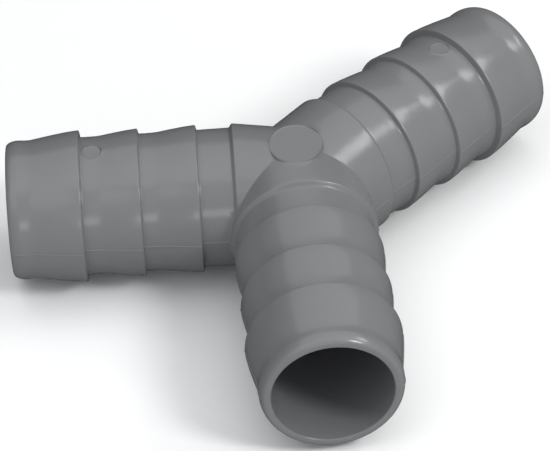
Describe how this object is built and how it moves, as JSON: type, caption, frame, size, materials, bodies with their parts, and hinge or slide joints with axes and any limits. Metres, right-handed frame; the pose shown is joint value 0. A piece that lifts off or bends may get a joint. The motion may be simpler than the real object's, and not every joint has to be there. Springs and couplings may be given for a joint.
{
  "type": "hose splitter",
  "caption": "Y-shaped barbed hose splitter in grey plastic: its hose tails meet in a small hub, grip hose ends pushed over their barbs and let water branch.",
  "frame": {"origin": "centre of the connector's box, in the parting plane that holds the axes of all the tails", "axes": "+Z is normal to that plane; the front tail points along -Y, the left tail close to -X, and the right tail between +X and +Y"},
  "size_m": [0.1236, 0.1154, 0.0336],
  "materials": {
    "grey_plastic": "satin injection-moulded polypropylene"
  },
  "bodies": {
    "root": {"connector_body": "grey_plastic"}
  },
  "joints": []
}
